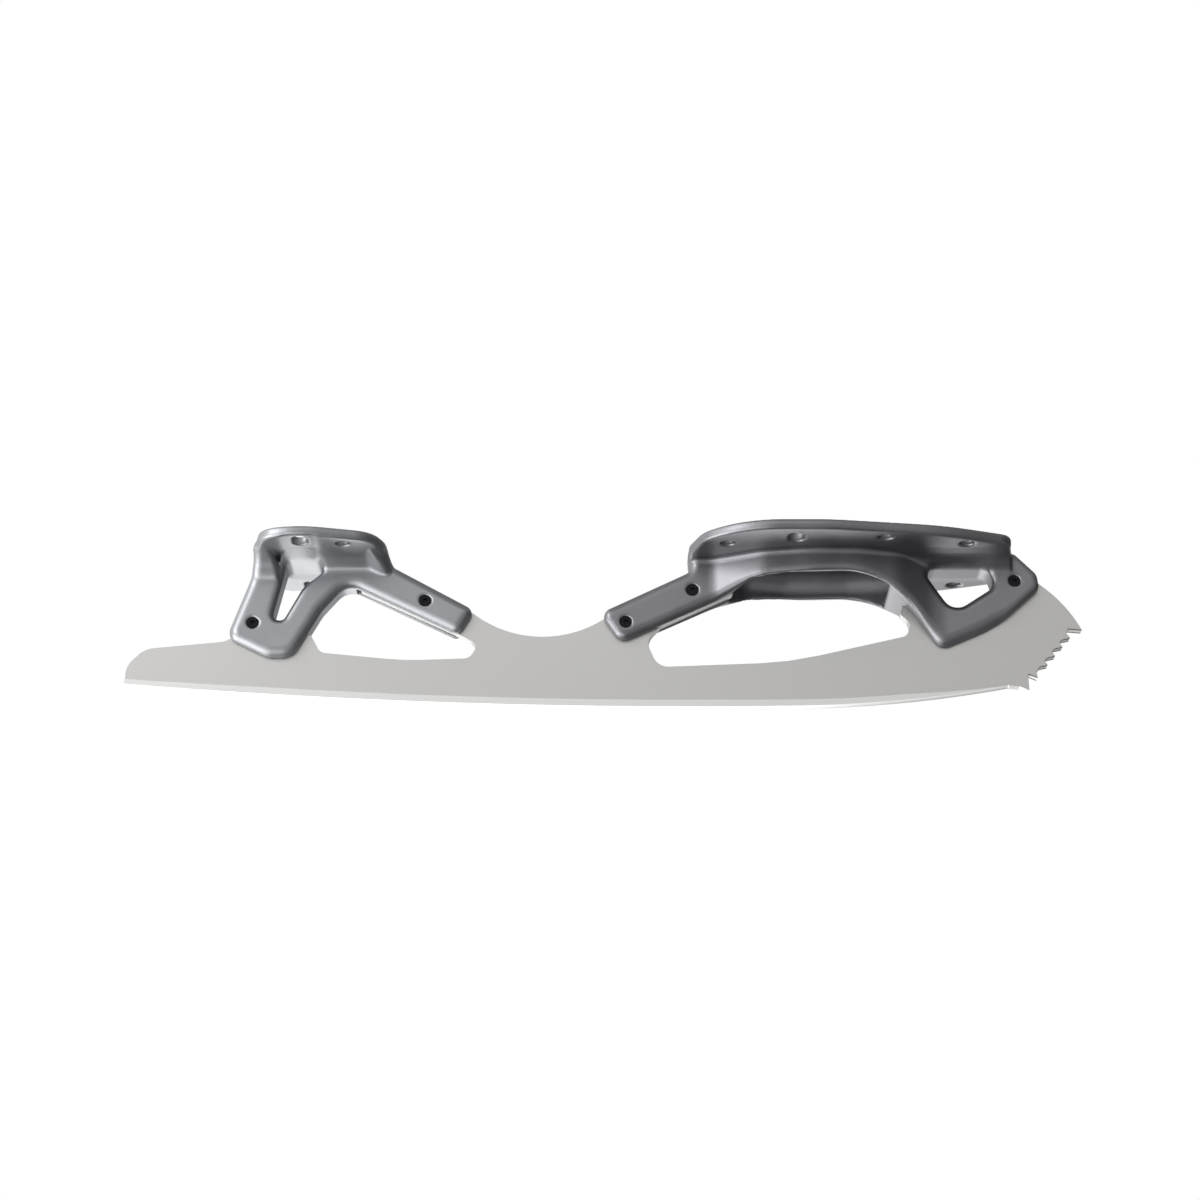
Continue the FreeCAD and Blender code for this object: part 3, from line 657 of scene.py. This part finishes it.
# Black oxide is a thin matt coat over the steel, and handling rubs it bright in patches of 0.7 mm.
black_oxide, tree, shader = new_metal("black_oxide_steel", "#26262a", 0.38)
place = add_node(tree, "ShaderNodeTexCoord").outputs["Object"]
worn = add_node(tree, "ShaderNodeTexNoise", links={
    "Vector": place, "Scale": to_the_metre(0.667), "Detail": 3.0})
gloss = add_node(tree, "ShaderNodeMapRange", links={
    "Value": worn.outputs["Fac"], "To Min": 0.25, "To Max": 0.5})
tree.links.new(gloss.outputs["Result"], shader.inputs["Roughness"])
for name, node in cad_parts.items():
    if name.endswith(("_screw", "_nut")):
        node.data.materials.clear()
        node.data.materials.append(black_oxide)


# Camera: as in the photograph, it looks at the blade's side from 18.5 degrees below it, so that the
# undersides of both plates show. It stands a metre away. From here on, sizes are in metres.

frame_px = 1200
pixel = 0.0003192
camera_distance = 1.0
below = math.radians(18.5)
cam = bpy.data.objects.new("camera", bpy.data.cameras.new("camera"))
bpy.context.scene.collection.objects.link(cam)
bpy.context.scene.camera = cam
aim = Vector((-0.07665, 0, -0.020))
cam.location = aim + camera_distance * Vector((0, -math.cos(below), -math.sin(below)))
cam.rotation_euler = (math.radians(90) + below, 0, 0)
cam.data.sensor_width = 36
cam.data.lens = cam.data.sensor_width * camera_distance / (frame_px * pixel)
cam.data.shift_x = -4 / frame_px
cam.data.shift_y = 14.5 / frame_px


# Studio: a white backdrop behind the blade, a broad soft key from its tail end, and a darker side
# at its toe. The room's own light is made of soft lobes, so the metal has something to mirror.

world = bpy.context.scene.world or bpy.data.worlds.new("studio")
bpy.context.scene.world = world
world.use_nodes = True
tree = world.node_tree
tree.nodes.clear()
direction = add_node(tree, "ShaderNodeTexCoord").outputs["Generated"]
axis = add_node(tree, "ShaderNodeSeparateXYZ", links={"Vector": direction})


def fade(side, near, far, start, end):
    """A glow that changes smoothly with how far a ray points along one axis."""
    return add_node(tree, "ShaderNodeMapRange", {"interpolation_type": "SMOOTHSTEP"}, {
        "Value": axis.outputs[side], "From Min": near, "From Max": far,
        "To Min": start, "To Max": end}).outputs["Result"]


def combine(operation, first, second):
    """One value from two, by an operation of the Math node."""
    return add_node(tree, "ShaderNodeMath", {"operation": operation}, {0: first, 1: second}).outputs[0]


room = 0.04
for side, near, far, glow in (
        ("X", -0.1, -0.9, 1.15), ("X", 0.1, 0.9, 0.06), ("Y", -0.3, -1.0, 0.42), ("Z", 0.1, 0.9, 0.30),
        ("Z", -0.1, -0.9, 0.15)):
    room = combine("ADD", room, fade(side, near, far, 0.0, glow))

# The backdrop is white to the camera. The metal mirrors it too, half as bright above the blade.
path = add_node(tree, "ShaderNodeLightPath")
backdrop = combine("MULTIPLY", fade("Y", 0.75, 0.95, 0.0, 1.0), fade("Z", -0.05, 0.25, 1.0, 0.5))
mirroring = combine("MAXIMUM", path.outputs["Is Glossy Ray"], path.outputs["Is Transmission Ray"])
white = combine("MAXIMUM", path.outputs["Is Camera Ray"], combine("MULTIPLY", mirroring, backdrop))
strength = add_node(tree, "ShaderNodeMix", {"data_type": "FLOAT"}, {0: white, 2: room, 3: 1.0})
background = add_node(tree, "ShaderNodeBackground", links={
    "Color": (1, 1, 1, 1), "Strength": strength.outputs[0]})
add_node(tree, "ShaderNodeOutputWorld", links={"Surface": background.outputs["Background"]})


def soft_light(name, place, towards, width, height, power):
    """A rectangular lamp that faces a place; sizes in metres, power in watts."""
    lamp = bpy.data.lights.new(name, "AREA")
    lamp.shape = "RECTANGLE"
    lamp.size = width
    lamp.size_y = height
    lamp.energy = power
    lamp_object = bpy.data.objects.new(name, lamp)
    bpy.context.scene.collection.objects.link(lamp_object)
    lamp_object.location = place
    lamp_object.rotation_euler = (Vector(towards) - Vector(place)).to_track_quat("-Z", "Y").to_euler()


soft_light("left_front", (-0.9, -0.6, 0.24), (-0.06, 0, -0.02), 0.5, 0.7, 3.8)
soft_light("left_low", (-0.9, -0.1, -0.5), (-0.08, 0, -0.02), 0.5, 0.5, 3.2)
soft_light("front", (-0.15, -1.0, 0.5), (-0.08, 0, -0.02), 0.9, 0.5, 0.8)
soft_light("low_back", (-0.3, 0.8, -0.5), (-0.08, 0, -0.02), 0.8, 0.5, 2.6)
soft_light("under_heel", (-0.40, -0.28, -0.45), (-0.15, 0, -0.02), 0.5, 0.5, 1.0)

# The pale floor that the blade stands on, painted board. It shows from above only, with the
# blade's shadow, and a little glow of its own makes up for the light that it doesn't bounce.
floor_z = -0.0512
floor_half = 2
floor_mesh = bpy.data.meshes.new("floor")
floor_corners = [(-1, -1), (1, -1), (1, 1), (-1, 1)]
floor_mesh.from_pydata(
    [(floor_half * u, floor_half * v, floor_z) for u, v in floor_corners], [], [(0, 1, 2, 3)])
floor = bpy.data.objects.new("floor", floor_mesh)
bpy.context.scene.collection.objects.link(floor)
floor.visible_glossy = False
floor.visible_diffuse = False
floor.visible_shadow = False
pale = bpy.data.materials.new("pale_floor")
pale.use_nodes = True
tree = pale.node_tree
shader = tree.nodes["Principled BSDF"]
shader.inputs["Base Color"].default_value = colour("#f4f4f2")
shader.inputs["Roughness"].default_value = 0.9
shader.inputs["Emission Color"].default_value = (1, 1, 1, 1)
shader.inputs["Emission Strength"].default_value = 0.22
from_below = add_node(tree, "ShaderNodeNewGeometry").outputs["Backfacing"]
clear = add_node(tree, "ShaderNodeBsdfTransparent").outputs["BSDF"]
one_sided = add_node(tree, "ShaderNodeMixShader", links={
    0: from_below, 1: shader.outputs["BSDF"], 2: clear})
tree.links.new(one_sided.outputs["Shader"], tree.nodes["Material Output"].inputs["Surface"])
floor_mesh.materials.append(pale)

bpy.context.scene.view_settings.view_transform = "Standard"
